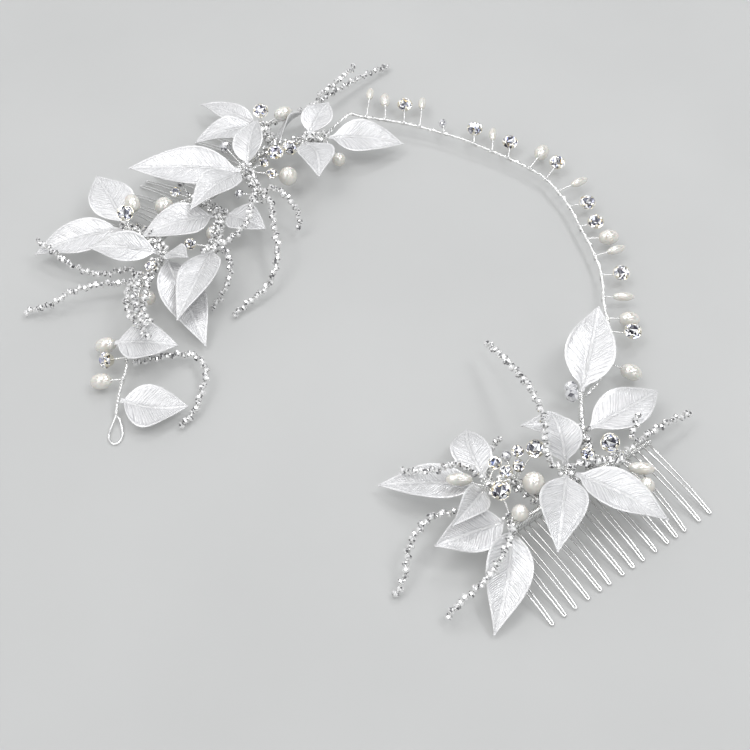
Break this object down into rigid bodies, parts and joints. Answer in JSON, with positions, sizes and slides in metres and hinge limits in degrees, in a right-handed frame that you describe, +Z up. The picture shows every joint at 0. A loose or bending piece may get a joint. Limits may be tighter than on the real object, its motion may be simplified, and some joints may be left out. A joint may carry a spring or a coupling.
{
  "type": "hair vine",
  "caption": "Bridal hair vine: two wire hair combs under clusters of veined leaves, stones, pearls and beaded sprays, joined by a twisted wire with drops that curves round the head.",
  "frame": {"origin": "middle of the outline's box, on the surface that the vine lies on", "axes": "+Z up from that surface, +Y towards the back of the horseshoe's curve, +X from the left cluster towards the right one"},
  "size_m": [0.2306, 0.2691, 0.0258],
  "materials": {
    "leaf_coat": "pearly white lacquer over relief veins, satin to glossy",
    "silver_wire": "bright silver plate",
    "crystal": "clear faceted stone on a foil back, in a silver cup",
    "pearl": "ivory pearl coat, glossy",
    "seed_beads": "clear silver-lined seed beads"
  },
  "bodies": {
    "root": {"comb_right": "silver_wire", "comb_left": "silver_wire", "vine_wire": "silver_wire", "tail_wire": "silver_wire", "right_bundle": "silver_wire", "left_bundle": "silver_wire", "vine_drops_back": "silver_wire", "vine_drops_side": "silver_wire", "tail_drops": "silver_wire", "leaf_r1": "leaf_coat", "leaf_r2": "leaf_coat", "leaf_r3": "leaf_coat", "leaf_r4": "leaf_coat", "leaf_r5": "leaf_coat", "leaf_r6": "leaf_coat", "leaf_r7": "leaf_coat", "leaf_r8": "leaf_coat", "leaf_r9": "leaf_coat", "leaf_r10": "leaf_coat", "leaf_r11": "leaf_coat", "leaf_l1": "leaf_coat", "leaf_l2": "leaf_coat", "leaf_l3": "leaf_coat", "leaf_l4": "leaf_coat", "leaf_l5": "leaf_coat", "leaf_l6": "leaf_coat", "leaf_l7": "leaf_coat", "leaf_l8": "leaf_coat", "leaf_l9": "leaf_coat", "leaf_l10": "leaf_coat", "leaf_l11": "leaf_coat", "leaf_l12": "leaf_coat", "leaf_l13": "leaf_coat", "leaf_l14": "leaf_coat", "leaf_l15": "leaf_coat", "leaf_l16": "leaf_coat", "leaf_l17": "leaf_coat", "leaf_t1": "leaf_coat", "leaf_t2": "leaf_coat", "spray_r1": "seed_beads", "spray_r2": "seed_beads", "spray_r2_fork": "seed_beads", "spray_r3": "seed_beads", "spray_r4": "seed_beads", "spray_r5": "seed_beads", "spray_r6": "seed_beads", "spray_r7": "seed_beads", "spray_l1": "seed_beads", "spray_l1_fork": "seed_beads", "spray_l2": "seed_beads", "spray_l3": "seed_beads", "spray_l4": "seed_beads", "spray_l5": "seed_beads", "spray_l6": "seed_beads", "spray_l7": "seed_beads", "spray_l8a": "seed_beads", "spray_l8b": "seed_beads", "spray_l8c": "seed_beads", "spray_l9": "seed_beads"}
  },
  "joints": []
}
